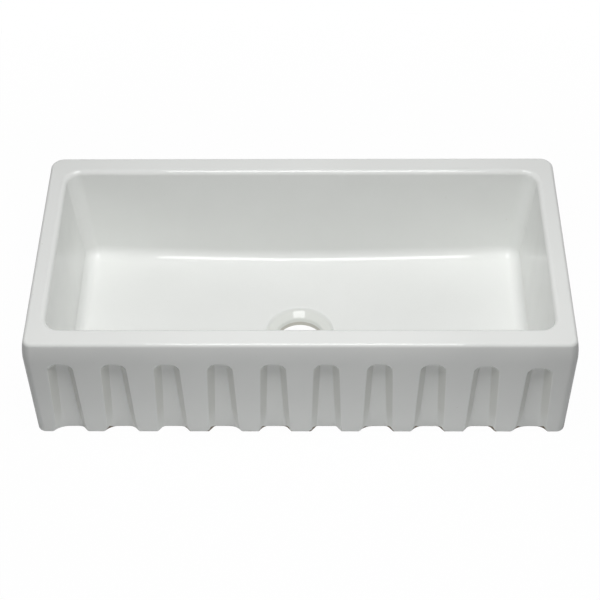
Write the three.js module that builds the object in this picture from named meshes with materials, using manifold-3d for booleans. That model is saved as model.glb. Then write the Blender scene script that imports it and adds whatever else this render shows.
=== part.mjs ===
// An apron-front farmhouse sink: one glazed fireclay casting with a row of flutes down its front.
// Millimetres, +Z up, front towards -Y. The origin is the middle of the underside.
import * as THREE from 'three';
import { mergeVertices } from 'three/addons/utils/BufferGeometryUtils.js';
import Module from 'manifold-3d';

// Outside of the casting
const WIDTH = 914; // 36 in, side to side
const DEPTH = 457; // 18 in, front to back
const HEIGHT = 229; // 9 in
const WALL_LEAN = 2; // how far each outer wall leans in from the rim down to the foot
const FRONT_CORNER_RADIUS = 14; // upright corners, seen from above
const BACK_CORNER_RADIUS = 22;
const RIM_OUTER_RADIUS = 10; // rounding of the top edge
const FOOT_RADIUS = 6; // rounding of the bottom edge

// Bowl
const SIDE_RIM = 35; // width of the rim, from the outer wall to the bowl's wall
const FRONT_RIM = 41.5;
const BACK_RIM = 41.5;
const RIM_INNER_RADIUS = 9; // rounding of the rim into the bowl
const BOWL_CORNER_RADIUS = 26; // upright corners inside
const SIDE_SLOPE = 19; // how far the side walls come in from the rim down to the floor
const END_SLOPE = 18; // the same for the front and back walls
const FLOOR_FILLET = 21; // hollow rounding between the walls and the floor
const FLOOR_THICKNESS = 27.5; // at the edge of the drain dish
const FLOOR_FALL = 0.028; // the floor rises this much for each millimetre away from the drain

// Drain
const DRAIN_HOLE_RADIUS = 45; // at the bottom of the dish, for a 3 1/2 in waste
const DRAIN_HOLE_TAPER = 2; // the hole is this much narrower, in radius, at the underside
const DRAIN_DISH_RADIUS = 59; // the dish round the hole, where it meets the floor
const DRAIN_DISH_DEPTH = 16; // from the floor down to the top of the hole
const DRAIN_TO_FRONT = 21.5; // the drain stands this far in front of the sink's middle

// Flutes
const FLUTE_PITCH = 88;
const FLUTE_END_LAND = 36; // least plain width between the last flute's middle line and its end of the apron
const FLUTE_TOP_LAND = 44; // plain band between the rim and the flutes' arched tops
const FLUTE_TOP_WIDTH = 43; // across the mouth, where the arch starts
const FLUTE_FOOT_WIDTH = 52; // across the mouth at the underside
const FLUTE_DEPTH = 12;
const FLUTE_WALL_RUN = 9.5; // how far a flute's sloped wall comes in on its way to the flute's floor
const FLUTE_LIP_RADIUS = 4; // rounding of the mouth's edge
const FLUTE_ROOT_RADIUS = 4; // hollow rounding along the flute's floor
const FLUTE_ARCH_WIDTH = 15; // each rounded corner of the arch, across
const FLUTE_ARCH_RISE = 18; // and upwards
const CROWN_DROP = 10; // how much lower the arch of the last flute on the right stands than the others
const CROWN_DROP_FLUTES = 3; // over how many flutes the arches step down to it

// Fineness of the rounded parts
const CORNER_STEPS = 6;
const SIDE_STEPS = 6;
const EDGE_STEPS = 4;
const FILLET_STEPS = 5;
const LIP_STEPS = 2;
const ARCH_STEPS = 5;
const DRAIN_STEPS = 48;

// Cutters reach this far past the surfaces that they cut.
const CUT_MARGIN = 3;
const LEAST_RADIUS = 1;
const RIGHT_ANGLE = Math.PI / 2;

const front = -DEPTH / 2;
const back = DEPTH / 2;
const bowlDepth = HEIGHT - FLOOR_THICKNESS;
const drainCentre = new THREE.Vector2(0, -DRAIN_TO_FRONT);

const wasm = await Module();
wasm.setup();

// A closed geometry as a solid that can be joined and cut. Triangles that shrank to a line at a pole are dropped.
function toSolid(geometry) {
  const bare = geometry.clone();
  bare.deleteAttribute('normal');
  bare.deleteAttribute('uv');
  const merged = mergeVertices(bare);
  const triVerts = [];
  for (let i = 0; i < merged.index.count; i += 3) {
    const [a, b, c] = [0, 1, 2].map((k) => merged.index.getX(i + k));
    if (a !== b && b !== c && c !== a) triVerts.push(a, b, c);
  }
  return new wasm.Manifold(new wasm.Mesh({
    numProp: 3,
    vertProperties: new Float32Array(merged.attributes.position.array),
    triVerts: new Uint32Array(triVerts),
  }));
}

function toGeometry(solid) {
  const mesh = solid.getMesh();
  const geometry = new THREE.BufferGeometry();
  geometry.setAttribute('position', new THREE.BufferAttribute(new Float32Array(mesh.vertProperties), 3));
  geometry.setIndex(new THREE.BufferAttribute(new Uint32Array(mesh.triVerts), 1));
  geometry.computeVertexNormals();
  return geometry;
}

// A closed skin over a stack of rings. Every ring has the same number of points, counter-clockwise
// when seen from beyond the last ring, and each end is closed with a fan about its middle.
function loft(rings) {
  const count = rings[0].length;
  const points = rings.flat();
  const index = [];
  for (let ring = 0; ring + 1 < rings.length; ring += 1) {
    for (let i = 0; i < count; i += 1) {
      const a = ring * count + i;
      const b = ring * count + (i + 1) % count;
      index.push(a, b, b + count, a, b + count, a + count);
    }
  }
  for (const [ring, flip] of [[0, true], [rings.length - 1, false]]) {
    const middle = rings[ring].reduce((sum, p) => sum.add(p), new THREE.Vector3()).divideScalar(count);
    points.push(middle);
    for (let i = 0; i < count; i += 1) {
      const a = ring * count + i;
      const b = ring * count + (i + 1) % count;
      index.push(points.length - 1, ...(flip ? [b, a] : [a, b]));
    }
  }
  const geometry = new THREE.BufferGeometry().setFromPoints(points);
  geometry.setIndex(index);
  return geometry;
}

// The angles of an even quarter turn in the given number of steps, both ends included.
const quarterTurn = (steps) => Array.from({ length: steps + 1 }, (_, i) => (RIGHT_ANGLE * i) / steps);

// A rounded rectangle seen from above, inset evenly from the given walls. The straight sides are
// divided too, so that a skin over it can follow a sloped floor.
function roundedOutline(walls, inset) {
  const half = walls.half - inset;
  const near = walls.front + inset;
  const far = walls.back - inset;
  const nearRadius = Math.max(walls.frontRadius - inset, LEAST_RADIUS);
  const farRadius = Math.max(walls.backRadius - inset, LEAST_RADIUS);
  const corners = [
    [half - farRadius, far - farRadius, farRadius],
    [farRadius - half, far - farRadius, farRadius],
    [nearRadius - half, near + nearRadius, nearRadius],
    [half - nearRadius, near + nearRadius, nearRadius],
  ];
  const arcs = corners.map(([x, y, radius], i) => {
    const turn = i * RIGHT_ANGLE;
    return new THREE.EllipseCurve(x, y, radius, radius, turn, turn + RIGHT_ANGLE).getPoints(CORNER_STEPS);
  });
  return arcs.flatMap((arc, i) => {
    const start = arc.at(-1);
    const end = arcs[(i + 1) % arcs.length][0];
    const side = Array.from({ length: SIDE_STEPS - 1 }, (_, k) => start.clone().lerp(end, (k + 1) / SIDE_STEPS));
    return [...arc, ...side];
  });
}

// How far an outer wall stands in at a height. The walls are upright only where the rim's rounding starts.
const wallInset = (z) => WALL_LEAN * (1 - z / (HEIGHT - RIM_OUTER_RADIUS));

// The casting before its bowl, flutes and drain: leaning walls, a rounded rim and a rounded foot.
function blank() {
  const walls = {
    half: WIDTH / 2,
    front,
    back,
    frontRadius: FRONT_CORNER_RADIUS,
    backRadius: BACK_CORNER_RADIUS,
  };
  const foot = quarterTurn(EDGE_STEPS).map((turn) => ({
    z: FOOT_RADIUS * (1 - Math.cos(turn)),
    rounding: FOOT_RADIUS * (1 - Math.sin(turn)),
  }));
  const rim = quarterTurn(EDGE_STEPS).map((turn) => ({
    z: HEIGHT - RIM_OUTER_RADIUS * (1 - Math.sin(turn)),
    rounding: RIM_OUTER_RADIUS * (1 - Math.cos(turn)),
  }));
  return loft([...foot, ...rim].map(({ z, rounding }) => {
    const lean = Math.max(wallInset(z), 0);
    return roundedOutline(walls, lean + rounding).map((p) => new THREE.Vector3(p.x, p.y, z));
  }));
}

// The floor falls evenly towards the drain from every side.
function floorHeight(point) {
  return FLOOR_THICKNESS + FLOOR_FALL * (point.distanceTo(drainCentre) - DRAIN_DISH_RADIUS);
}

// The space inside the bowl, from above the rim down to the drain.
function bowl() {
  const outlineAt = (drop, inset) => roundedOutline({
    half: WIDTH / 2 - SIDE_RIM - SIDE_SLOPE * (drop / bowlDepth),
    front: front + FRONT_RIM + END_SLOPE * (drop / bowlDepth),
    back: back - BACK_RIM - END_SLOPE * (drop / bowlDepth),
    frontRadius: BOWL_CORNER_RADIUS,
    backRadius: BOWL_CORNER_RADIUS,
  }, inset);
  const level = (outline, z) => outline.map((p) => new THREE.Vector3(p.x, p.y, z));
  const aboveRim = level(outlineAt(0, -RIM_INNER_RADIUS), HEIGHT + CUT_MARGIN);
  const rim = quarterTurn(EDGE_STEPS).map((turn) => {
    const drop = RIM_INNER_RADIUS * (1 - Math.cos(turn));
    return level(outlineAt(drop, -RIM_INNER_RADIUS * (1 - Math.sin(turn))), HEIGHT - drop);
  });
  const fillet = quarterTurn(FILLET_STEPS).map((turn) => {
    const rise = FLOOR_FILLET * (1 - Math.sin(turn));
    const outline = outlineAt(bowlDepth - rise, FLOOR_FILLET * (1 - Math.cos(turn)));
    return outline.map((p) => new THREE.Vector3(p.x, p.y, floorHeight(p) + rise));
  });
  const floorEdge = fillet.at(-1);
  const drain = floorEdge.map((p) => {
    const spoke = new THREE.Vector2(p.x, p.y).sub(drainCentre).setLength(DRAIN_HOLE_RADIUS).add(drainCentre);
    return new THREE.Vector3(spoke.x, spoke.y, floorHeight(spoke));
  });
  return loft([drain, ...fillet.reverse(), ...rim.reverse(), aboveRim]);
}

// The drain hole and the dish round it, turned about the drain's axis.
function drain() {
  const throatTop = FLOOR_THICKNESS - DRAIN_DISH_DEPTH;
  const slope = DRAIN_DISH_DEPTH / (DRAIN_DISH_RADIUS - DRAIN_HOLE_RADIUS);
  const mouthRadius = DRAIN_DISH_RADIUS + CUT_MARGIN;
  const top = FLOOR_THICKNESS + slope * CUT_MARGIN;
  const footRadius = DRAIN_HOLE_RADIUS - DRAIN_HOLE_TAPER;
  const profile = [
    new THREE.Vector2(0, -CUT_MARGIN),
    new THREE.Vector2(footRadius, -CUT_MARGIN),
    new THREE.Vector2(footRadius, 0),
    new THREE.Vector2(DRAIN_HOLE_RADIUS, throatTop),
    new THREE.Vector2(mouthRadius, top),
    new THREE.Vector2(mouthRadius, top + CUT_MARGIN),
    new THREE.Vector2(0, top + CUT_MARGIN),
  ];
  const geometry = new THREE.LatheGeometry(profile, DRAIN_STEPS);
  geometry.rotateX(RIGHT_ANGLE);
  geometry.translate(drainCentre.x, drainCentre.y, 0);
  return geometry;
}

// A flute's section, from the apron's face to the flute's floor: how far in from the mouth's edge, and how
// deep. The sloped wall is tangent to a rounded lip and to a hollow root.
function fluteSection() {
  const slope = Math.atan2(FLUTE_DEPTH, FLUTE_WALL_RUN);
  const turns = Array.from({ length: LIP_STEPS + 1 }, (_, i) => (slope * i) / LIP_STEPS);
  const lipLength = FLUTE_LIP_RADIUS * Math.tan(slope / 2);
  const rootLength = FLUTE_ROOT_RADIUS * Math.tan(slope / 2);
  const lip = turns.map((turn) => ({
    inset: FLUTE_LIP_RADIUS * Math.sin(turn) - lipLength,
    depth: FLUTE_LIP_RADIUS * (1 - Math.cos(turn)),
  }));
  const root = turns.reverse().map((turn) => ({
    inset: FLUTE_WALL_RUN + rootLength - FLUTE_ROOT_RADIUS * Math.sin(turn),
    depth: FLUTE_DEPTH - FLUTE_ROOT_RADIUS * (1 - Math.cos(turn)),
  }));
  return [{ inset: -lipLength, depth: -CUT_MARGIN }, ...lip, ...root];
}

// The outline of a flute seen from the front, inset evenly: straight sides that spread towards the foot,
// under an arch with a flat crown.
function fluteOutline(inset, crownDrop) {
  const across = Math.max(FLUTE_ARCH_WIDTH - inset, LEAST_RADIUS);
  const rise = Math.max(FLUTE_ARCH_RISE - inset, LEAST_RADIUS);
  const crown = HEIGHT - FLUTE_TOP_LAND - crownDrop - inset;
  const springing = FLUTE_TOP_WIDTH / 2 - inset;
  const footHalf = FLUTE_FOOT_WIDTH / 2 - inset;
  const right = new THREE.EllipseCurve(springing - across, crown - rise, across, rise, 0, RIGHT_ANGLE)
    .getPoints(ARCH_STEPS);
  const left = right.map((p) => new THREE.Vector2(-p.x, p.y)).reverse();
  return [
    new THREE.Vector2(footHalf, -CUT_MARGIN),
    ...right,
    ...left,
    new THREE.Vector2(-footHalf, -CUT_MARGIN),
  ];
}

// The cutter of one flute. It leans with the apron, so that the flute is as deep at its foot as at its top.
function flute({ x, crownDrop }) {
  return loft(fluteSection().map(({ inset, depth }) => fluteOutline(inset, crownDrop).map(
    (p) => new THREE.Vector3(x - p.x, front + wallInset(p.y) + depth, p.y),
  )));
}

// As many flutes as the apron has room for, in an even row about its middle, from left to right.
function fluteRow() {
  const last = Math.floor((WIDTH - 2 * FLUTE_END_LAND) / FLUTE_PITCH);
  return Array.from({ length: last + 1 }, (_, i) => {
    const stepDown = Math.max(0, 1 - (last - i) / CROWN_DROP_FLUTES);
    return { x: (i - last / 2) * FLUTE_PITCH, crownDrop: CROWN_DROP * stepDown ** 2 };
  });
}

const glaze = new THREE.MeshStandardMaterial({ color: 0xeff1ee, roughness: 0.12, metalness: 0 });

function sinkBody() {
  let casting = toSolid(blank()).subtract(toSolid(bowl())).subtract(toSolid(drain()));
  for (const place of fluteRow()) {
    casting = casting.subtract(toSolid(flute(place)));
  }
  const mesh = new THREE.Mesh(toGeometry(casting), glaze);
  mesh.name = 'sink_body';
  return mesh;
}

const group = new THREE.Group();
group.add(sinkBody());

export default group;
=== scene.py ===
"""A white fireclay kitchen sink with a fluted apron front, modelled over its CAD casting.

Lengths are metres, +Z is up and the apron faces -Y. The origin is the middle of the underside.
"""

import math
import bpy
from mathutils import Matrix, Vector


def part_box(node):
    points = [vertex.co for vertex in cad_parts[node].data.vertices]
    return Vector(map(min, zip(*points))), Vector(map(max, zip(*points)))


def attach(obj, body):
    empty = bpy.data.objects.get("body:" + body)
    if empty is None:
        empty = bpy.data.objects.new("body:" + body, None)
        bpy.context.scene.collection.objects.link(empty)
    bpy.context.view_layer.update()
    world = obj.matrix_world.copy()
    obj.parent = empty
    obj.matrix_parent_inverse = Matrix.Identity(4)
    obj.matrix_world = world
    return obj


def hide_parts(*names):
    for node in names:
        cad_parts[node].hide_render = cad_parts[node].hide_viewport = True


bl_info = {
    "name": "Fluted Apron Sink",
    "version": (1, 0, 0),
    "blender": (4, 5, 0),
    "location": "3D View > Sidebar > Sink",
    "description": "Casts and glazes a fireclay sink with a fluted apron, in a plain studio",
    "category": "Mesh",
}

import bmesh
import bpy
from bpy.props import FloatProperty, FloatVectorProperty, IntProperty, PointerProperty
from bpy.types import Operator, Panel, PropertyGroup
from mathutils import Matrix, Vector

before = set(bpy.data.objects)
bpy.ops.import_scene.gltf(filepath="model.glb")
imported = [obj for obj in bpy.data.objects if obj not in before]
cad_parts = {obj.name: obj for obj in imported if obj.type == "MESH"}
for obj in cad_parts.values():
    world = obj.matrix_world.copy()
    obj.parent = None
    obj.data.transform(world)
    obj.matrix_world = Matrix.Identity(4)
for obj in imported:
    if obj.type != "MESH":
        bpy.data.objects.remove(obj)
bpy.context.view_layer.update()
CASTING_LOW, CASTING_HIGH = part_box("sink_body")
MM = 0.001
SINK = "fireclay_sink"

# Cutters reach this far past the surfaces that they cut.
CUT_MARGIN = 10 * MM
# An edge that turns by more than this still needs its rounding.
SHARP = math.radians(30)
# Points this near to a plane lie on it, and points this near to each other are one.
NEAR = 0.2 * MM
SAME = 0.01 * MM
# The least that a face's normal points up or down, on a level face and on the flat underside.
LEVEL = 0.9
FLAT = 0.999
# An edge longer than this share of a stretch goes right across it.
SPANS = 0.8
# How far the surface turns between the bowl's walls and its rim or floor.
WALL_TURN = math.radians(85)

# Steps in each rounding.
UPRIGHT_STEPS = 12
RIM_STEPS = 10
SHOULDER_STEPS = 7
FOOT_STEPS = 7
BOWL_CORNER_STEPS = 14
FILLET_STEPS = 12
DISH_STEPS = 6
HOLE_STEPS = 10
# Cuts along the bowl's long and short walls, and rings in its floor.
WALL_CUTS = (48, 20)
FLOOR_RINGS = 9
# The drain hole's edge at the underside is only just taken off.
HOLE_FOOT = 0.4 * MM

# Columns from the middle of a ridge to the middle of a flute: how many lie before the lip, the
# slope, the root and the floor, and in all.
HALF_CELL = 24
SECTION_COLUMNS = (0, 4, 9, 12, 20, HALF_CELL)
# Rows over the softened foot, the plain middle, the arches and the band above them.
ROW_STEPS = (12, 8, 28, 2)
# Steps to each side in the search for the foot's rounding.
TUCK_STEPS = 8
# How wide the slope between ridge and floor is at the very foot, left and right of each flute,
# in mm: the feet were wiped by hand before the firing, and no two are alike.
FOOT_SLOPES = (
    (30, 17), (27, 19), (14, 18), (12, 24), (18, 16),
    (11, 12), (27, 15), (23, 15), (16, 14), (32, 21),
)
# A slope this wide at the foot starts where the lip does higher up; a wider one starts out in the
# ridge, by this share of the difference.
PLAIN_SLOPE = 11 * MM
SPREAD_OUTWARDS = 0.4
# A widened root takes at most this share of the slope that the lip leaves.
ROOT_MOST = 0.95
# How quickly the softening fades upwards: the hollows over its whole reach, the lips much sooner.
HOLLOW_FADE = 1.7
LIP_FADE = 4.0
# Above 1, a flute's floor leans out more the nearer it comes to the foot.
FLOOR_CURVE = 1.5


def length(name, default, description):
    """A size that a user may change, shown in the scene's length unit."""
    return FloatProperty(
        name=name,
        description=description,
        default=default,
        min=0.0,
        precision=4,
        subtype="DISTANCE",
        unit="LENGTH",
    )


def tone(name, default, description):
    """A colour that a user may change."""
    return FloatVectorProperty(
        name=name,
        description=description,
        default=default,
        min=0.0,
        max=1.0,
        subtype="COLOR",
    )


class CastingSizes(PropertyGroup):
    """The outside of the casting."""

    width: length("Width", CASTING_HIGH.x - CASTING_LOW.x, "Side to side, over the rim")
    depth: length("Depth", CASTING_HIGH.y - CASTING_LOW.y, "Front to back, over the rim")
    height: length("Height", CASTING_HIGH.z - CASTING_LOW.z, "Underside to rim")
    lean: length("Wall lean", 2 * MM, "How far each outer wall comes in from the rim to the foot")
    front_corner: length("Front corners", 14 * MM, "Radius of the upright corners at the apron")
    back_corner: length("Back corners", 22 * MM, "Radius of the upright corners at the back")
    rim_outer: length("Rim outer rounding", 6 * MM, "Radius of the rim's outer edge")
    shoulder: length("Shoulder", 24 * MM, "How far under the rim the outer walls turn in to it")
    shoulder_in: length("Shoulder depth", 4.6 * MM, "How far the walls come in over the shoulder")
    shoulder_round: length(
        "Shoulder rounding", 15.5 * MM, "How far above and below the turn its rounding reaches"
    )
    foot: length("Foot rounding", 6 * MM, "Radius of the bottom edge")


class BowlSizes(PropertyGroup):
    """The inside of the bowl, and its drain."""

    side_rim: length("Side rims", 35 * MM, "Width of the rim at each side")
    end_rim: length("Front and back rims", 41.5 * MM, "Width of the rim at the front and back")
    rim_inner: length("Rim inner rounding", 9 * MM, "Radius of the rim's edge into the bowl")
    side_slope: length("Side slope", 19 * MM, "How far the side walls come in down to the floor")
    end_slope: length("End slope", 18 * MM, "How far the front and back walls come in")
    corner: length("Bowl corners", 26 * MM, "Radius of the upright corners inside")
    fillet: length("Floor fillet", 21 * MM, "Radius of the hollow between walls and floor")
    floor: length("Floor thickness", 27.5 * MM, "Thickness of the floor at the edge of the dish")
    fall: FloatProperty(
        name="Floor fall",
        description="Rise of the floor for each metre away from the drain",
        default=0.028,
        min=0.0,
    )
    bow: length("Back wall bow", 4 * MM, "How far the back wall's foot bows forward in the middle")
    dish: length("Dish radius", 62 * MM, "Radius of the dish round the hole, at the floor")
    dish_wall: length("Dish wall", 4.2 * MM, "Height of the dish's steep wall below the floor")
    ledge: length("Ledge radius", 58 * MM, "Where that wall meets the gentle slope to the hole")
    ledge_drop: length("Ledge drop", 8 * MM, "How far that slope falls on its way to the hole")
    dish_lip: length("Dish lip", 3.5 * MM, "Radius of the edge between floor and dish")
    ledge_root: length("Ledge root", 9 * MM, "Radius of the hollow between that wall and slope")
    hole: length("Hole radius", 45.2 * MM, "Radius of the drain hole at the bottom of the dish")
    hole_low: length("Hole radius below", 43 * MM, "Radius of the drain hole at the underside")
    hole_lip: length("Hole lip", 6 * MM, "Radius of the edge between dish and hole")
    bare_ring: length("Bare ring", 8 * MM, "Height of the unglazed ring at the hole's bottom")
    to_left: length("Drain to left", 3 * MM, "How far the drain stands left of the middle")
    to_front: length("Drain to front", 21.5 * MM, "How far the drain stands before the middle")


class FluteSizes(PropertyGroup):
    """The flutes down the apron."""

    count: IntProperty(name="Flutes", description="How many flutes there are", default=10, min=1)
    pitch: length("Pitch", 88 * MM, "From one flute's middle to the next")
    top_land: length("Top land", 44 * MM, "Plain band between the rim and the flutes' arches")
    top_width: length("Width at the arch", 43 * MM, "Across the mouth, where the arch starts")
    foot_width: length("Width at the foot", 52 * MM, "Across the mouth at the underside")
    depth: length("Depth at the foot", 11.5 * MM, "From the apron to a flute's floor, at the foot")
    top_depth: length("Depth at the arch", 17 * MM, "The same under the arch")
    wall_run: length("Wall run at the foot", 9.5 * MM, "How far a sloped wall comes in there")
    top_run: length("Wall run at the arch", 11.5 * MM, "The same under the arch")
    arch: length("Arch corners", 17.5 * MM, "Radius of the arch's two round corners, sideways")
    arch_rise: length("Arch rise", 20 * MM, "Height of those corners")
    lip: length("Lip", 2.5 * MM, "Radius of the mouth's edge")
    root: length("Root", 3 * MM, "Radius of the hollow along a flute's floor")
    spread_reach: length("Spread reach", 60 * MM, "Height over which the walls soften to the foot")
    crown_drop: length("Crown drop", 10 * MM, "How much lower the last arch on the right stands")
    drop_flutes: IntProperty(
        name="Dropping flutes",
        description="Over how many flutes the arches step down to the last one",
        default=3,
        min=1,
    )


class GlazeFinish(PropertyGroup):
    """The glaze and the bare clay under the foot."""

    white: tone("Glaze colour", (0.86, 0.872, 0.854), "Colour of the fired glaze")
    speck: tone("Speck colour", (0.35, 0.30, 0.22), "Colour of the pinholes in the glaze")
    wiped: tone("Wiped clay colour", (0.20, 0.155, 0.10), "Colour along the foot's wiped edge")
    clay: tone("Clay colour", (0.52, 0.51, 0.465), "Colour of the unglazed foot and drain hole")


class StudioLight(PropertyGroup):
    """The lamp, the world and the camera."""

    overhead: FloatProperty(
        name="Overhead",
        description="Power of the softbox above",
        default=29.6,
        min=0.0,
        unit="POWER",
    )
    world: FloatProperty(
        name="World", description="Strength of the even light all round", default=0.07, min=0.0
    )
    lens: FloatProperty(
        name="Lens", description="Focal length of the camera", default=93.88, unit="CAMERA"
    )


# --- modelling helpers --------------------------------------------------------


def start_clean():
    """Leaves edit mode and deselects everything, so that nothing is changed by accident."""
    if bpy.context.mode != "OBJECT":
        bpy.ops.object.mode_set(mode="OBJECT")
    bpy.ops.object.select_all(action="DESELECT")


def pick(piece):
    """Leaves edit mode, and selects one piece alone."""
    start_clean()
    piece.select_set(True)
    bpy.context.view_layer.objects.active = piece


def edit(piece):
    """Opens one piece in edit mode, with nothing else selected."""
    pick(piece)
    bpy.ops.object.mode_set(mode="EDIT")


def choose(kind, wanted):
    """Selects the vertices, edges or faces in edit mode for which wanted(element) is true."""
    bpy.ops.mesh.select_mode(type=kind)
    bpy.ops.mesh.select_all(action="DESELECT")
    mesh = bmesh.from_edit_mesh(bpy.context.edit_object.data)
    for element in {"VERT": mesh.verts, "EDGE": mesh.edges, "FACE": mesh.faces}[kind]:
        if wanted(element):
            element.select_set(True)
    mesh.select_flush_mode()
    bmesh.update_edit_mesh(bpy.context.edit_object.data)


def move_points(move):
    """Hands each vertex in edit mode to a function that may move it."""
    mesh = bmesh.from_edit_mesh(bpy.context.edit_object.data)
    for vert in mesh.verts:
        move(vert)
    bmesh.update_edit_mesh(bpy.context.edit_object.data)


def middle_of(element):
    """The mean of an edge's or a face's corners."""
    return sum((v.co for v in element.verts), Vector()) / len(element.verts)


def length_along(edge, axis):
    """How far an edge goes along X (0), Y (1) or Z (2)."""
    return abs(edge.verts[0].co[axis] - edge.verts[1].co[axis])


def sharp(edge):
    """Whether an edge still needs its rounding."""
    return edge.calc_face_angle(0) > SHARP


def clamped(value):
    """A number held between 0 and 1."""
    return min(max(value, 0), 1)


def apply_modifier(piece, kind, **settings):
    """Adds a modifier to a piece with these settings, and applies it."""
    pick(piece)
    modifier = piece.modifiers.new(kind.title(), kind)
    for name, value in settings.items():
        setattr(modifier, name, value)
    bpy.ops.object.modifier_apply(modifier=modifier.name)


def bevel(offset, segments):
    """Rounds the selected edges."""
    bpy.ops.mesh.bevel(
        offset=offset, offset_type="OFFSET", segments=segments, affect="EDGES", clamp_overlap=False
    )


def recalculate_normals():
    """Turns every face in edit mode outwards, and leaves them all selected."""
    bpy.ops.mesh.select_all(action="SELECT")
    bpy.ops.mesh.normals_make_consistent(inside=False)


def edge_offset(radius, turn):
    """How far from an edge a rounding starts, where the surface turns by this angle."""
    return radius * math.tan(turn / 2)


# --- the casting --------------------------------------------------------------


def cast_blank(casting):
    """The block before its bowl and flutes, with leaning walls and all its outer roundings."""
    start_clean()
    shoulder_low = casting.height - casting.shoulder
    bpy.ops.mesh.primitive_cube_add(
        size=1,
        location=(0, 0, shoulder_low / 2),
        scale=(casting.width, casting.depth, shoulder_low),
    )
    blank = bpy.context.object
    blank.name = SINK
    bpy.ops.object.transform_apply(location=True, rotation=True, scale=True)
    edit(blank)
    choose("VERT", lambda v: v.co.z < NEAR)
    bpy.ops.transform.resize(value=inwards(casting, casting.lean), center_override=(0, 0, 0))
    choose("FACE", lambda f: f.normal.z > LEVEL)
    bpy.ops.mesh.extrude_region_move(TRANSFORM_OT_translate={"value": (0, 0, casting.shoulder)})
    bpy.ops.transform.resize(
        value=inwards(casting, casting.shoulder_in), center_override=(0, 0, 0)
    )
    for side, radius in ((-1, casting.front_corner), (1, casting.back_corner)):
        choose(
            "EDGE",
            lambda e: length_along(e, 2) > casting.shoulder / 2 and middle_of(e).y * side > 0,
        )
        bevel(radius, UPRIGHT_STEPS)
    choose("EDGE", lambda e: all(v.co.z > casting.height - NEAR for v in e.verts))
    rim_turn = math.atan2(casting.shoulder, casting.shoulder_in)
    bevel(edge_offset(casting.rim_outer, rim_turn), RIM_STEPS)
    choose("EDGE", lambda e: all(abs(v.co.z - shoulder_low) < NEAR for v in e.verts))
    bevel(casting.shoulder_round, SHOULDER_STEPS)
    choose("EDGE", lambda e: all(v.co.z < NEAR for v in e.verts))
    bevel(casting.foot, FOOT_STEPS)
    start_clean()
    return blank


def inwards(casting, distance):
    """The scale that brings the block's sides in by a distance."""
    return 1 - 2 * distance / casting.width, 1 - 2 * distance / casting.depth, 1


def bowl_cutter(casting, bowl):
    """The space in the bowl and down through the drain, drawn ring by ring from its mouth."""
    top = casting.height + CUT_MARGIN
    fillet_top = bowl.floor + bowl.fillet * (1 - math.cos(WALL_TURN))
    wall_height = casting.height - bowl.floor
    rim_half = (casting.width / 2 - bowl.side_rim, casting.depth / 2 - bowl.end_rim)
    slopes = [slope / wall_height for slope in (bowl.side_slope, bowl.end_slope)]
    top_half = [half + slope * CUT_MARGIN for half, slope in zip(rim_half, slopes)]
    low_half = [
        half - slope * (casting.height - fillet_top) for half, slope in zip(rim_half, slopes)
    ]
    cutter = draw_mouth(bowl, top, top_half)
    bpy.ops.mesh.extrude_region_move(
        TRANSFORM_OT_translate={"value": (0, 0, fillet_top - top)}
    )
    shares = (low_half[0] / top_half[0], low_half[1] / top_half[1], 1)
    bpy.ops.transform.resize(value=shares, center_override=(0, 0, 0))
    recalculate_normals()
    choose("FACE", lambda f: f.normal.z < -LEVEL)
    draw_fillet(bowl)
    drain = Vector((-bowl.to_left, -bowl.to_front, bowl.floor - bowl.fall * bowl.dish))
    let_floor_fall(bowl, drain, fillet_top)
    draw_floor(bowl, drain)
    dish_drain(bowl, drain)
    bow_back_wall(bowl, casting.height, rim_half)
    start_clean()
    return cutter


def draw_mouth(bowl, level, half):
    """Draws the bowl's outline as one face at a height, and leaves it selected in edit mode."""
    start_clean()
    bpy.ops.mesh.primitive_plane_add(size=1, location=(0, 0, level))
    cutter = bpy.context.object
    bpy.ops.object.transform_apply(location=True, rotation=True, scale=True)
    edit(cutter)
    bpy.ops.transform.resize(
        value=(2 * half[0], 2 * half[1], 1), center_override=(0, 0, level)
    )
    bpy.ops.mesh.bevel(
        offset=bowl.corner, offset_type="OFFSET", segments=BOWL_CORNER_STEPS, affect="VERTICES"
    )
    for axis, cuts in enumerate(WALL_CUTS):
        choose("EDGE", lambda e: length_along(e, axis) > bowl.corner)
        bpy.ops.mesh.subdivide(number_cuts=cuts)
    choose("FACE", lambda f: True)
    bpy.ops.mesh.dissolve_faces()
    return cutter


def draw_fillet(bowl):
    """Draws the selected face in and down along the hollow between the walls and the floor."""
    turns = [WALL_TURN * i / FILLET_STEPS for i in range(FILLET_STEPS + 1)]
    tilt = math.pi / 2 - WALL_TURN
    for turn, next_turn in zip(turns, turns[1:]):
        run = bowl.fillet * (math.cos(turn + tilt) - math.cos(next_turn + tilt))
        drop = bowl.fillet * (math.sin(next_turn + tilt) - math.sin(turn + tilt))
        bpy.ops.mesh.inset(thickness=run, depth=drop, use_even_offset=True)


def let_floor_fall(bowl, drain, below):
    """Tilts all that lies below a height towards the drain, as a very flat cone."""

    def fall(vert):
        if vert.co.z < below + NEAR:
            vert.co.z += bowl.fall * ((vert.co.xy - drain.xy).length - bowl.dish)

    move_points(fall)


def draw_floor(bowl, apex):
    """Draws the floor's outline in to the drain, ring by ring, from a rectangle to a round."""
    mesh = bmesh.from_edit_mesh(bpy.context.edit_object.data)
    away = [(v.co - apex).length for v in mesh.verts if v.select]
    mean = sum(away) / len(away)
    first = drain_profile(bowl)[0][0] / math.cos(math.atan(bowl.fall))
    share = (first / mean) ** (1 / FLOOR_RINGS)
    for ring in range(FLOOR_RINGS):
        bpy.ops.mesh.extrude_region_move()
        bpy.ops.transform.resize(value=(share, share, share), center_override=apex)
        bpy.ops.transform.tosphere(value=1 / (FLOOR_RINGS - ring), center_override=apex)


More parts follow.
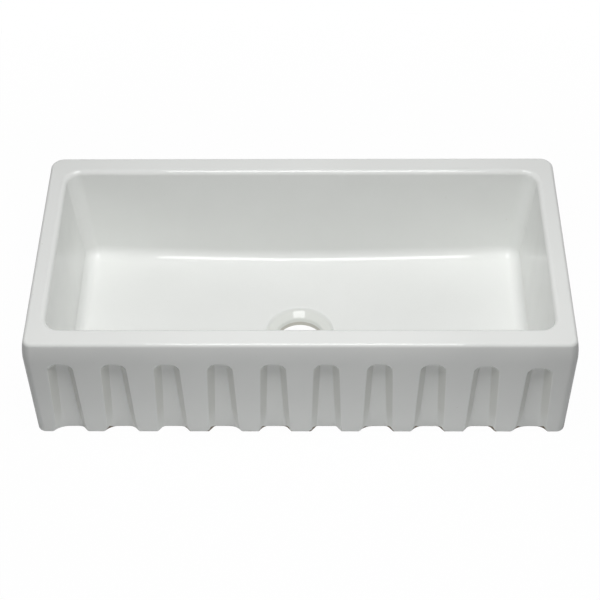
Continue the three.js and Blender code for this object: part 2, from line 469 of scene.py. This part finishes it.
def dish_drain(bowl, drain):
    """Draws the floor's round opening down through the dish and the hole."""
    rings = drain_profile(bowl)
    for (radius, level), (next_radius, next_level) in zip(rings, rings[1:]):
        bpy.ops.mesh.extrude_region_move(
            TRANSFORM_OT_translate={"value": (0, 0, next_level - level)}
        )
        share = next_radius / radius
        bpy.ops.transform.resize(value=(share, share, 1), center_override=drain)


def bow_back_wall(bowl, top, half):
    """Brings the back wall's foot and the floor at it forward, most in the middle."""
    behind_dish = bowl.dish + 2 * bowl.dish_lip - bowl.to_front
    wall_foot = half[1] - bowl.end_slope - bowl.fillet
    ends = half[0] - 3 * bowl.corner

    def bow(vert):
        down = clamped((top - vert.co.z) / (top - bowl.floor))
        back = clamped((vert.co.y - behind_dish) / (wall_foot - behind_dish))
        across = max(1 - (vert.co.x / ends) ** 2, 0)
        vert.co.y -= bowl.bow * across * down * back

    move_points(bow)


def rounded(corner, before, after, radius, steps):
    """Points along the rounding of a corner that lies between two others in a section."""
    arriving, leaving = (corner - before).normalized(), (after - corner).normalized()
    turn = arriving.angle(leaving)
    start = corner - arriving * edge_offset(radius, turn)
    aside = (leaving - arriving * math.cos(turn)) / math.sin(turn)
    points = []
    for i in range(steps + 1):
        part = turn * i / steps
        points.append(start + radius * (arriving * math.sin(part) + aside * (1 - math.cos(part))))
    return points


def drain_profile(bowl):
    """The drain's section as (radius, height) pairs, from the floor to below the underside."""
    beyond = Vector((2 * bowl.dish, bowl.floor + bowl.fall * bowl.dish))
    edge = Vector((bowl.dish, bowl.floor))
    ledge = Vector((bowl.ledge, bowl.floor - bowl.dish_wall))
    hole = Vector((bowl.hole, ledge.y - bowl.ledge_drop))
    foot = Vector((bowl.hole_low, 0))
    narrowing = (hole - foot) / hole.y
    return [
        *rounded(edge, beyond, ledge, bowl.dish_lip, DISH_STEPS),
        *rounded(ledge, edge, hole, bowl.ledge_root, DISH_STEPS),
        *rounded(hole, ledge, foot, bowl.hole_lip, HOLE_STEPS),
        foot + narrowing * bowl.bare_ring,
        foot - narrowing * CUT_MARGIN,
    ]


def cut_out(sink, cutter):
    """Cuts a cutter's shape out of the sink, and deletes the cutter."""
    apply_modifier(sink, "BOOLEAN", operation="DIFFERENCE", object=cutter, solver="EXACT")
    pick(cutter)
    bpy.ops.object.delete()


def round_bowl_edges(sink, casting, bowl):
    """Rounds the rim's edge into the bowl, and the hole's edge at the underside."""
    edit(sink)
    # The cut leaves points part way along some edges, which would streak the bowl's corners.
    choose("VERT", lambda v: len(v.link_edges) == 2)
    bpy.ops.mesh.dissolve_verts()
    half = (casting.width / 2 - bowl.side_rim + NEAR, casting.depth / 2 - bowl.end_rim + NEAR)

    def in_bowl(edge, level):
        points = [v.co for v in edge.verts]
        inside = all(abs(p.x) < half[0] and abs(p.y) < half[1] for p in points)
        return inside and all(abs(p.z - level) < NEAR for p in points) and sharp(edge)

    choose("EDGE", lambda e: in_bowl(e, casting.height))
    bevel(edge_offset(bowl.rim_inner, WALL_TURN), RIM_STEPS)
    choose("EDGE", lambda e: in_bowl(e, 0))
    bevel(HOLE_FOOT, 1)


# --- the flutes ---------------------------------------------------------------


class Flute:
    """One flute's outline on the apron, and how deep the apron is pressed in at any point."""

    def __init__(self, number, casting, flutes):
        self.sizes = flutes
        self.middle = (number - (flutes.count - 1) / 2) * flutes.pitch
        after_last = flutes.count - 1 - number
        drop = flutes.crown_drop * max(0, 1 - after_last / flutes.drop_flutes) ** 2
        self.crown = casting.height - flutes.top_land - drop
        self.turn = math.atan2(flutes.depth, flutes.wall_run)
        self.lip_run = edge_offset(flutes.lip, self.turn)
        self.root_run = edge_offset(flutes.root, self.turn)
        most = ROOT_MOST * (math.hypot(flutes.depth, flutes.wall_run) - self.lip_run)
        self.foot_slopes = [slope * MM for slope in FOOT_SLOPES[number % len(FOOT_SLOPES)]]
        self.foot_roots = [
            min(max(slope - flutes.wall_run, self.root_run), most) for slope in self.foot_slopes
        ]

    def half_width(self, z):
        """Half the mouth at a height, without the spread at the foot."""
        springing = self.crown - self.sizes.arch_rise
        flare = (self.sizes.foot_width - self.sizes.top_width) / 2 / springing
        return self.sizes.top_width / 2 + flare * max(springing - z, 0)

    def softened(self, z, fade):
        """How much of the foot's softening a height has: all at the underside, none above it."""
        return max(1 - z / self.sizes.spread_reach, 0) ** fade

    def raised(self, z):
        """How far a height's depth and wall run are from the foot's (0) to the arch's (1)."""
        return 1 - (1 - min(z / self.crown, 1)) ** FLOOR_CURVE

    def wall(self, side, z):
        """How far out the left (0) or right (1) wall starts, its stretch, and its root's run."""
        sizes = self.sizes
        soft = self.softened(z, HOLLOW_FADE)
        slope = self.foot_slopes[side]
        root_run = self.root_run + (self.foot_roots[side] - self.root_run) * soft
        wider = max(slope / (sizes.wall_run + self.foot_roots[side]) - 1, 0)
        stretch = 1 + (sizes.top_run / sizes.wall_run - 1) * self.raised(z) + wider * soft
        start = SPREAD_OUTWARDS * (slope - PLAIN_SLOPE) * self.softened(z, LIP_FADE)
        return start, stretch, root_run

    def depth_at(self, x, z):
        """How deep the apron is pressed in at a point."""
        sizes = self.sizes
        side = 0 if x < self.middle else 1
        across = abs(x - self.middle) - self.half_width(z) + sizes.arch
        up = (z - self.crown + sizes.arch_rise) * sizes.arch / sizes.arch_rise
        past = math.hypot(across, up) if min(across, up) > 0 else max(across, up)
        start, stretch, root_run = self.wall(side, z)
        deeper = sizes.top_depth / sizes.depth - 1
        run = (sizes.arch - past + start) / stretch
        return self.section(run, root_run) * (1 + deeper * self.raised(z))

    def section(self, run, root_run):
        """Depth at a distance inwards of the lip line: a slope between a round lip and root."""
        sizes = self.sizes
        from_root = sizes.wall_run - run
        if run <= -self.lip_run:
            return 0.0
        if from_root <= -root_run:
            return sizes.depth
        if run < self.lip_run * math.cos(self.turn):
            return sizes.lip - math.sqrt(sizes.lip**2 - (run + self.lip_run) ** 2)
        if from_root < root_run * math.cos(self.turn):
            root = root_run / math.tan(self.turn / 2)
            return sizes.depth - root + math.sqrt(root**2 - (from_root + root_run) ** 2)
        return run * math.tan(self.turn)

    def column(self, side, step, z, edge):
        """Where a half cell's column stands at a height: close together where the section turns."""
        start, stretch, root_run = self.wall(side, z)
        out = abs(edge - self.middle) - self.half_width(z)
        runs = (
            -(out - start) / stretch,
            -self.lip_run,
            self.lip_run * math.cos(self.turn),
            self.sizes.wall_run - root_run * math.cos(self.turn),
            self.sizes.wall_run + root_run,
            (self.half_width(z) + start) / stretch,
        )
        marks = list(zip(SECTION_COLUMNS, runs))
        for (first, low), (last, high) in zip(marks, marks[1:]):
            if step <= last:
                break
        run = low + (high - low) * (step - first) / (last - first)
        away = self.half_width(z) + start - run * stretch
        return self.middle + (away if side else -away)


def row_heights(casting, flutes):
    """Heights of the apron's rows: close together at the foot and over the arches."""
    crown = casting.height - flutes.top_land
    levels = (
        casting.foot,
        flutes.spread_reach,
        crown - flutes.crown_drop - flutes.arch_rise - flutes.lip,
        crown + flutes.lip,
        casting.height - casting.shoulder - casting.shoulder_round,
    )
    rows = [casting.foot]
    for low, high, steps in zip(levels, levels[1:], ROW_STEPS):
        rows += [low + (high - low) * (i + 1) / steps for i in range(steps)]
    return rows


def divide_apron(casting, flutes, rows, near_front):
    """Cuts the apron into even columns, in two goes, and into rows."""
    halves = 2 * flutes.count
    columns = ((casting.width, halves), (flutes.pitch / 2, HALF_CELL))
    for stretch, parts in columns:
        longer_than = SPANS * stretch
        choose(
            "EDGE", lambda e: length_along(e, 0) > longer_than and middle_of(e).y < near_front
        )
        bpy.ops.mesh.subdivide(number_cuts=parts - 1)
    longer_than = SPANS * (rows[-1] - rows[0])
    wall = casting.lean - casting.depth / 2
    choose("EDGE", lambda e: length_along(e, 2) > longer_than and middle_of(e).y < wall)
    bpy.ops.mesh.subdivide(number_cuts=len(rows) - 2)


def press_flutes(sink, casting, flutes):
    """Divides the apron into columns and rows, and presses the flutes into it."""
    edit(sink)
    front = -casting.depth / 2
    near_front = front + casting.shoulder_in + casting.rim_outer + NEAR
    rows = row_heights(casting, flutes)
    low, high = rows[0], rows[-1]
    divide_apron(casting, flutes, rows, near_front)
    pressed = [Flute(number, casting, flutes) for number in range(flutes.count)]
    corner_at = casting.width / 2 - casting.front_corner
    shoulder_low = casting.height - casting.shoulder
    columns = 2 * HALF_CELL * flutes.count

    def press(vert):
        x, y, z = vert.co
        leant = casting.lean * (1 - z / shoulder_low)
        if y > near_front or abs(x) > corner_at - leant + NEAR or z > high + NEAR:
            return
        if z > low:
            z = rows[round((z - low) / (high - low) * (len(rows) - 1))]
            leant = casting.lean * (1 - z / shoulder_low)
        half = corner_at - leant
        wall = front + leant
        tuck = max(y - wall, 0) if z < low else 0.0
        column = round((x + half) / (2 * half) * columns)
        cell, step = divmod(column, 2 * HALF_CELL)
        flute = pressed[min(cell, flutes.count - 1)]
        if column in (0, columns):
            x = math.copysign(half, x)
        else:
            side = 1 if step > HALF_CELL else 0
            edge = flute.middle + (side - 0.5) * flutes.pitch
            if abs(edge) > half - flutes.lip:
                edge = math.copysign(half, edge)
            x = flute.column(side, 2 * HALF_CELL - step if side else step, z, edge)
        vert.co = (x, wall + tucked_depth(flute, x, z, tuck), z)

    move_points(press)
    start_clean()


def tucked_depth(flute, x, z, tuck):
    """How deep the apron is at a point of the foot's rounding, at its distance from the wall."""
    deepest = 0.0
    for i in range(-TUCK_STEPS, TUCK_STEPS + 1):
        aside = tuck * i / TUCK_STEPS
        reach = math.sqrt(max(tuck**2 - aside**2, 0))
        deepest = max(deepest, flute.depth_at(x + aside, z) + reach)
        if not tuck:
            break
    return deepest


def smooth_surface(sink):
    """Merges what is double, and shades the surface smooth, led by the large faces."""
    edit(sink)
    bpy.ops.mesh.select_all(action="SELECT")
    bpy.ops.mesh.remove_doubles(threshold=SAME)
    pick(sink)
    bpy.ops.object.shade_smooth()
    apply_modifier(sink, "WEIGHTED_NORMAL", mode="FACE_AREA", weight=80, keep_sharp=False)


# --- materials ----------------------------------------------------------------

# The glaze's relief: the scale of each noise, its share of the height, and the whole height.
WAVES = 7.0
RIPPLE, RIPPLE_SHARE = 38.0, 0.03
PEEL, PEEL_SHARE = 420.0, 0.0008
PIT_SHARE = 0.03
RELIEF = 4 * MM
GLAZE_ROUGHNESS = 0.06
WIPED_ROUGHER = 0.5
# Faint clouds in the white: their scale, where their edge lies, and what they leave of the white.
CLOUDS = 6.0
CLOUD_EDGE = (0.35, 0.65)
CLOUD_TINT = (0.985, 0.985, 0.985)
# Pinholes: cells to the metre, a speck's soft edge, and the chance that a cell has none.
PIN_CELLS = 45.0
PIN_EDGE = (0.012, 0.03)
PIN_RARE = 0.7
# Painted shade in the dish round the drain: what it leaves of the white, and the width of its soft
# edge.
DISH_PAINTED_SHADE = (0.925, 0.93, 0.91)
DISH_FADE = 5 * MM
# Painted shade on the flutes' side walls, darkest high up: what it leaves of the white, and how far
# sideways a face looks where that shade starts and where it is full.
FLUTE_WALL_PAINTED_SHADE = (0.88, 0.877, 0.86)
FLUTE_WALL_FACING = (0.3, 0.75)
# The wiped line along the foot: its noise, how high it reaches, and its soft edge.
LINE_NOISE = 55.0
LINE_HIGH = 7.5 * MM
LINE_EDGE = 1.2 * MM
# How much higher it reaches in the flutes' corners, and the noise that picks some of them.
CORNER_HIGH = 8 * MM
CORNER_NOISE = 16.0
CORNER_PICKED = (0.36, 0.52)
# Where those corners are and how far they reach, as shares of the pitch out from the middle.
CORNER_AT = 0.26
CORNER_WIDE = 0.09
# Bare clay: the scale of its grain and of its paler patches, the grain's height, and their tint.
CLAY_GRAIN = 180.0
CLAY_PATCHES = 22.0
CLAY_RELIEF = 0.6 * MM
CLAY_PALE = (1.25, 1.25, 1.25)


class Shader:
    """A material's or world's nodes under construction, added and linked with little ceremony."""

    def __init__(self, owner, output="OutputMaterial"):
        self.owner = owner
        owner.use_nodes = True
        self.tree = owner.node_tree
        self.tree.nodes.clear()
        self.output = self.node(output)

    def node(self, kind, inputs=None, **settings):
        """Adds a node. An input's name or number goes with its value or another node's output."""
        made = self.tree.nodes.new("ShaderNode" + kind)
        for name, value in settings.items():
            setattr(made, name, value)
        for name, value in (inputs or {}).items():
            if isinstance(value, bpy.types.NodeSocket):
                self.tree.links.new(value, made.inputs[name])
            else:
                made.inputs[name].default_value = value
        return made

    def maths(self, operation, first, second=0.0):
        """One step of arithmetic."""
        return self.node("Math", {0: first, 1: second}, operation=operation).outputs[0]

    def product(self, first, *others):
        """Several numbers multiplied together."""
        for other in others:
            first = self.maths("MULTIPLY", first, other)
        return first

    def gap(self, first, second):
        """How far two numbers are apart."""
        return self.maths("ABSOLUTE", self.maths("SUBTRACT", first, second))

    def hypotenuse(self, first, second):
        """The long side of a right-angled triangle."""
        squares = [self.maths("MULTIPLY", side, side) for side in (first, second)]
        return self.maths("SQRT", self.maths("ADD", *squares))

    def rise(self, value, low, high):
        """0 below low, 1 above high, and an even slope between them."""
        spread = {"Value": value, "From Min": low, "From Max": high}
        return self.node("MapRange", spread, clamp=True).outputs["Result"]

    def fall(self, value, low, high):
        """1 below low, 0 above high, and an even slope between them."""
        return self.maths("SUBTRACT", 1.0, self.rise(value, low, high))

    def noise(self, place, scale, detail=2.0, roughness=0.5):
        """Soft noise at a place, about 0 to 1."""
        inputs = {"Vector": place, "Scale": scale, "Detail": detail, "Roughness": roughness}
        return self.node("TexNoise", inputs).outputs["Fac"]

    def place(self, kind="Object"):
        """The surface's own coordinates, or its normal."""
        return self.node("TexCoord").outputs[kind]

    def parts(self, vector):
        """A vector's X, Y and Z."""
        return self.node("SeparateXYZ", {"Vector": vector}).outputs

    def blend(self, share, first, second):
        """A colour between two others."""
        colours = {0: share, 6: first, 7: second}
        return self.node("Mix", colours, data_type="RGBA").outputs[2]

    def finish(self, surface):
        """Links the last node to the output, and returns the finished material or world."""
        self.tree.links.new(surface, self.output.inputs["Surface"])
        return self.owner


def tinted(rgb, tint=(1.0, 1.0, 1.0)):
    """A colour multiplied by a tint, as a shader's socket takes it."""
    return (*(part * share for part, share in zip(rgb, tint)), 1.0)


def glaze_material(finish, casting, bowl, flutes):
    """Gloss white glaze: its relief, clouds, pinholes, painted shade in the drain's dish and on the
    flutes' side walls, and the wiped foot.
    """
    shader = Shader(bpy.data.materials.new("white_glaze"))
    place = shader.place()
    xyz = shader.parts(place)
    fluted = shader.maths("LESS_THAN", xyz["Y"], 2 * flutes.depth - casting.depth / 2)
    pins = pinholes(shader, place)
    wiped = foot_line(shader, place, xyz, fluted, flutes)
    clouds = shader.rise(shader.noise(place, CLOUDS, 3.0), *CLOUD_EDGE)
    layers = (
        (clouds, tinted(finish.white, CLOUD_TINT)),
        (pins, tinted(finish.speck)),
        # Painted shade in the dish round the drain.
        (dish_painted_shade(shader, xyz, bowl), tinted(finish.white, DISH_PAINTED_SHADE)),
        # Painted shade on the flutes' side walls, high up.
        (flute_wall_painted_shade(shader, xyz, fluted, casting, flutes), tinted(finish.white, FLUTE_WALL_PAINTED_SHADE)),
        (wiped, tinted(finish.wiped)),
    )
    colour = tinted(finish.white)
    for mask, over in layers:
        colour = shader.blend(mask, colour, over)
    rougher = shader.maths("MULTIPLY", wiped, WIPED_ROUGHER)
    glaze = shader.node(
        "BsdfPrincipled",
        {
            "Base Color": colour,
            "Roughness": shader.maths("ADD", GLAZE_ROUGHNESS, rougher),
            "IOR": 1.5,
            "Specular IOR Level": 0.3,
            "Normal": glaze_relief(shader, place, pins),
        },
    )
    return shader.finish(glaze.outputs["BSDF"])


def glaze_relief(shader, place, pins):
    """Lazy waves, ripples and fine orange peel, with a pit at each pinhole."""
    waves = shader.noise(place, WAVES, 1.0)
    ripple = shader.maths("MULTIPLY", shader.noise(place, RIPPLE, 1.0), RIPPLE_SHARE)
    peel = shader.maths("MULTIPLY", shader.noise(place, PEEL, 2.0), PEEL_SHARE)
    height = shader.maths("ADD", shader.maths("ADD", waves, ripple), peel)
    height = shader.maths("SUBTRACT", height, shader.maths("MULTIPLY", pins, PIT_SHARE))
    bump = shader.node("Bump", {"Strength": 1.0, "Distance": RELIEF, "Height": height})
    return bump.outputs["Normal"]


def pinholes(shader, place):
    """Sparse specks where a bubble broke through the glaze."""
    cells = shader.node("TexVoronoi", {"Vector": place, "Scale": PIN_CELLS}).outputs
    near = shader.fall(cells["Distance"], *PIN_EDGE)
    chance = shader.node("SeparateColor", {"Color": cells["Color"]}).outputs[0]
    return shader.maths("MULTIPLY", near, shader.maths("GREATER_THAN", chance, PIN_RARE))


def dish_painted_shade(shader, xyz, bowl):
    """Where shade is painted into the dish round the drain: 1 inside, 0 outside."""
    aside = shader.maths("ADD", xyz["X"], bowl.to_left)
    along = shader.maths("ADD", xyz["Y"], bowl.to_front)
    return shader.fall(shader.hypotenuse(aside, along), bowl.dish - DISH_FADE, bowl.dish)


def flute_wall_painted_shade(shader, xyz, fluted, casting, flutes):
    """Painted shade on the flutes' steep side walls: 1 high up, 0 at the foot."""
    facing = shader.parts(shader.place("Normal"))
    sideways = shader.rise(shader.maths("ABSOLUTE", facing["X"]), *FLUTE_WALL_FACING)
    corner_at = casting.width / 2 - casting.front_corner - casting.lean
    between = shader.maths("LESS_THAN", shader.maths("ABSOLUTE", xyz["X"]), corner_at)
    upper = shader.rise(xyz["Z"], 0.0, flutes.spread_reach)
    return shader.product(sideways, between, fluted, upper)


def foot_line(shader, place, xyz, fluted, flutes):
    """Where the glaze was wiped off along the bottom edge, with dark brown marks that reach higher
    in some of the flutes' corners.
    """
    cells = shader.maths("DIVIDE", xyz["X"], flutes.pitch)
    cells = shader.maths("FRACT", shader.maths("ADD", cells, flutes.count / 2))
    corner = shader.fall(shader.gap(shader.gap(cells, 0.5), CORNER_AT), 0.0, CORNER_WIDE)
    picked = shader.rise(shader.noise(place, CORNER_NOISE, 1.0), *CORNER_PICKED)
    uneven = shader.maths("MULTIPLY", shader.noise(place, LINE_NOISE, 4.0, 0.65), LINE_HIGH)
    high = shader.maths("ADD", shader.product(corner, picked, fluted, CORNER_HIGH), uneven)
    return shader.fall(shader.maths("SUBTRACT", xyz["Z"], high), -LINE_EDGE, 0.0)


def clay_material(finish):
    """Bare fireclay under the foot: matt, and rubbed by the kiln shelf."""
    shader = Shader(bpy.data.materials.new("bare_fireclay"))
    place = shader.place()
    grain = shader.noise(place, CLAY_GRAIN, 6.0)
    bump = shader.node("Bump", {"Strength": 0.4, "Distance": CLAY_RELIEF, "Height": grain})
    patches = shader.noise(place, CLAY_PATCHES, 5.0)
    colour = shader.blend(patches, tinted(finish.clay), tinted(finish.clay, CLAY_PALE))
    clay = shader.node(
        "BsdfPrincipled",
        {"Base Color": colour, "Roughness": 0.85, "Normal": bump.outputs["Normal"]},
    )
    return shader.finish(clay.outputs["BSDF"])


# --- studio -------------------------------------------------------------------

WHITE = (1, 1, 1, 1)
# The paper that the sink stands on and the floor beyond it, the paper's middle and half its
# size, and the width over which one gives way to the other.
FLOOR_SIZE = 12
PAPER = (0.95, 0.955, 0.96, 1)
FAR_FLOOR = (0.2, 0.2, 0.2, 1)
PAPER_MIDDLE = (0.0, -0.35)
PAPER_HALF = (0.4, 0.7)
PAPER_FADE = 0.6
# From how near to how far beyond the sink's walls gloss starts to mirror the white floor.
MIRRORED_FROM = (0.0, 0.3)
# How much of plain white the camera sees in the paper; the rest is its own shade, with the
# sink's shadow.
WHITE_SHARE = 0.98
SOFTBOX_PLACE = (0.03, -0.43, 2.0)
SOFTBOX_AIM = (0, 0, 0.1)
SOFTBOX_SIZE = (0.9, 1.05)
# Where the photograph was taken from, and how far the camera looks down, to the side and askew.
CAMERA_PLACE = (0.0332249, -1.8776116, 2.1559797)
CAMERA_PITCH = 0.83254
CAMERA_YAW = -0.018929
CAMERA_ROLL = -0.014415
SENSOR_WIDTH = 36


def seen(shader, mirrored_share=1.0):
    """1 for rays from the camera, a share for those from gloss and through glass, else 0."""
    ray = shader.node("LightPath").outputs
    mirrored = shader.maths("MAXIMUM", ray["Is Glossy Ray"], ray["Is Transmission Ray"])
    mirrored = shader.maths("MULTIPLY", mirrored, mirrored_share)
    return shader.maths("MAXIMUM", ray["Is Camera Ray"], mirrored)


def lay_floor(casting):
    """White paper that throws light up at the apron, on a darker floor that reads as white."""
    start_clean()
    bpy.ops.mesh.primitive_plane_add(size=FLOOR_SIZE, location=(0, 0, 0))
    floor = bpy.context.object
    floor.name = "studio_floor"
    shader = Shader(bpy.data.materials.new("studio_white"))
    beyond = shader.rise(gap_round(shader, PAPER_MIDDLE, PAPER_HALF), 0.0, PAPER_FADE)
    shade = shader.blend(beyond, PAPER, FAR_FLOOR)
    paper = shader.node("BsdfDiffuse", {"Color": shade}).outputs["BSDF"]
    white = shader.node("Emission", {"Color": WHITE, "Strength": 1.0}).outputs["Emission"]
    away = gap_round(shader, (0, 0), (casting.width / 2, casting.depth / 2))
    share = shader.maths("ADD", WHITE_SHARE, shader.maths("MULTIPLY", beyond, 1 - WHITE_SHARE))
    share = shader.maths("MULTIPLY", seen(shader, shader.rise(away, *MIRRORED_FROM)), share)
    mixed = shader.node("MixShader", {0: share, 1: paper, 2: white})
    floor.data.materials.append(shader.finish(mixed.outputs["Shader"]))


def gap_round(shader, middle, half):
    """How far a point of the floor is from a rectangle on it."""
    xyz = shader.parts(shader.place())
    gaps = []
    for axis in (0, 1):
        beyond = shader.maths("SUBTRACT", shader.gap(xyz[axis], middle[axis]), half[axis])
        gaps.append(shader.maths("MAXIMUM", beyond, 0.0))
    return shader.hypotenuse(*gaps)


def set_world(strength):
    """An even light all round, which the camera, gloss and glass see as plain white."""
    shader = Shader(bpy.data.worlds.new("studio"), "OutputWorld")
    glow, white = (
        shader.node("Background", {"Color": WHITE, "Strength": level}).outputs["Background"]
        for level in (strength, 1.0)
    )
    mixed = shader.node("MixShader", {0: seen(shader), 1: glow, 2: white})
    bpy.context.scene.world = shader.finish(mixed.outputs["Shader"])


def hang_softbox(power):
    """The rectangular lamp over the sink, not seen by the camera itself."""
    start_clean()
    bpy.ops.object.light_add(type="AREA", location=SOFTBOX_PLACE)
    lamp = bpy.context.object
    lamp.name = "overhead_softbox"
    towards = Vector(SOFTBOX_AIM) - Vector(SOFTBOX_PLACE)
    lamp.rotation_euler = towards.to_track_quat("-Z", "Y").to_euler()
    lamp.data.shape = "RECTANGLE"
    lamp.data.size, lamp.data.size_y = SOFTBOX_SIZE
    lamp.data.energy = power
    lamp.visible_camera = False


def set_camera(lens):
    """The photograph's own viewpoint."""
    start_clean()
    bpy.ops.object.camera_add(location=CAMERA_PLACE)
    camera = bpy.context.object
    level, down = math.cos(CAMERA_PITCH), math.sin(CAMERA_PITCH)
    forward = Vector((math.sin(CAMERA_YAW) * level, math.cos(CAMERA_YAW) * level, -down))
    right = Vector((math.cos(CAMERA_YAW), -math.sin(CAMERA_YAW), 0))
    up = right.cross(forward)
    x = right * math.cos(CAMERA_ROLL) + up * math.sin(CAMERA_ROLL)
    y = up * math.cos(CAMERA_ROLL) - right * math.sin(CAMERA_ROLL)
    camera.rotation_euler = Matrix((x, y, -forward)).transposed().to_euler()
    camera.data.lens = lens
    camera.data.sensor_width = SENSOR_WIDTH
    bpy.context.scene.camera = camera
    bpy.context.scene.view_settings.view_transform = "Standard"


# --- operators ----------------------------------------------------------------


class SINK_OT_casting(Operator):
    """Models the fireclay casting: block, bowl, drain, flutes and every rounded edge"""

    bl_idname = "sink.casting"
    bl_label = "Cast the Sink"

    def execute(self, context):
        scene = context.scene
        casting, bowl, flutes = scene.sink_casting, scene.sink_bowl, scene.sink_flutes
        sink = cast_blank(casting)
        cut_out(sink, bowl_cutter(casting, bowl))
        round_bowl_edges(sink, casting, bowl)
        press_flutes(sink, casting, flutes)
        smooth_surface(sink)
        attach(sink, "root")
        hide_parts("sink_body")
        return {"FINISHED"}


def bare(face, bowl):
    """Whether the clay shows: on the underside, and in a ring at the bottom of the hole."""
    middle = middle_of(face)
    across = math.hypot(middle.x + bowl.to_left, middle.y + bowl.to_front)
    in_ring = across < bowl.hole + NEAR and middle.z < bowl.bare_ring
    return in_ring or (face.normal.z < -FLAT and middle.z < NEAR)


class SINK_OT_glaze(Operator):
    """Glazes the casting, and leaves the clay bare under its foot"""

    bl_idname = "sink.glaze"
    bl_label = "Glaze the Sink"

    def execute(self, context):
        scene = context.scene
        sink = bpy.data.objects[SINK]
        sizes = scene.sink_casting, scene.sink_bowl, scene.sink_flutes
        sink.data.materials.clear()
        sink.data.materials.append(glaze_material(scene.sink_glaze, *sizes))
        sink.data.materials.append(clay_material(scene.sink_glaze))
        edit(sink)
        choose("FACE", lambda f: bare(f, scene.sink_bowl))
        bpy.context.object.active_material_index = 1
        bpy.ops.object.material_slot_assign()
        start_clean()
        return {"FINISHED"}


class SINK_OT_studio(Operator):
    """Sets up the white floor, the lamp, the even light and the camera"""

    bl_idname = "sink.studio"
    bl_label = "Set Up the Studio"

    def execute(self, context):
        studio = context.scene.sink_studio
        lay_floor(context.scene.sink_casting)
        set_world(studio.world)
        hang_softbox(studio.overhead)
        set_camera(studio.lens)
        return {"FINISHED"}


class SINK_PT_panel(Panel):
    """The sink's tools and sizes in the sidebar"""

    bl_idname = "SINK_PT_panel"
    bl_label = "Fluted Apron Sink"
    bl_space_type = "VIEW_3D"
    bl_region_type = "UI"
    bl_category = "Sink"

    def draw(self, context):
        layout = self.layout
        for operator in STEPS:
            layout.operator(operator.bl_idname)
        for name, group in PROPERTIES.items():
            box = layout.box()
            box.label(text=group.__doc__)
            for prop in group.__annotations__:
                box.prop(getattr(context.scene, name), prop)


PROPERTIES = {
    "sink_casting": CastingSizes,
    "sink_bowl": BowlSizes,
    "sink_flutes": FluteSizes,
    "sink_glaze": GlazeFinish,
    "sink_studio": StudioLight,
}
STEPS = (SINK_OT_casting, SINK_OT_glaze, SINK_OT_studio)
CLASSES = (*PROPERTIES.values(), *STEPS, SINK_PT_panel)


def register():
    """Makes the classes known to Blender, and gives the scene its sizes and colours."""
    for cls in CLASSES:
        bpy.utils.register_class(cls)
    for name, cls in PROPERTIES.items():
        setattr(bpy.types.Scene, name, PointerProperty(type=cls))


def unregister():
    """Takes them away again."""
    for name in PROPERTIES:
        delattr(bpy.types.Scene, name)
    for cls in reversed(CLASSES):
        bpy.utils.unregister_class(cls)


def main():
    """Makes the whole scene."""
    register()
    bpy.ops.sink.casting()
    bpy.ops.sink.glaze()
    bpy.ops.sink.studio()


if __name__ == "__main__":
    main()
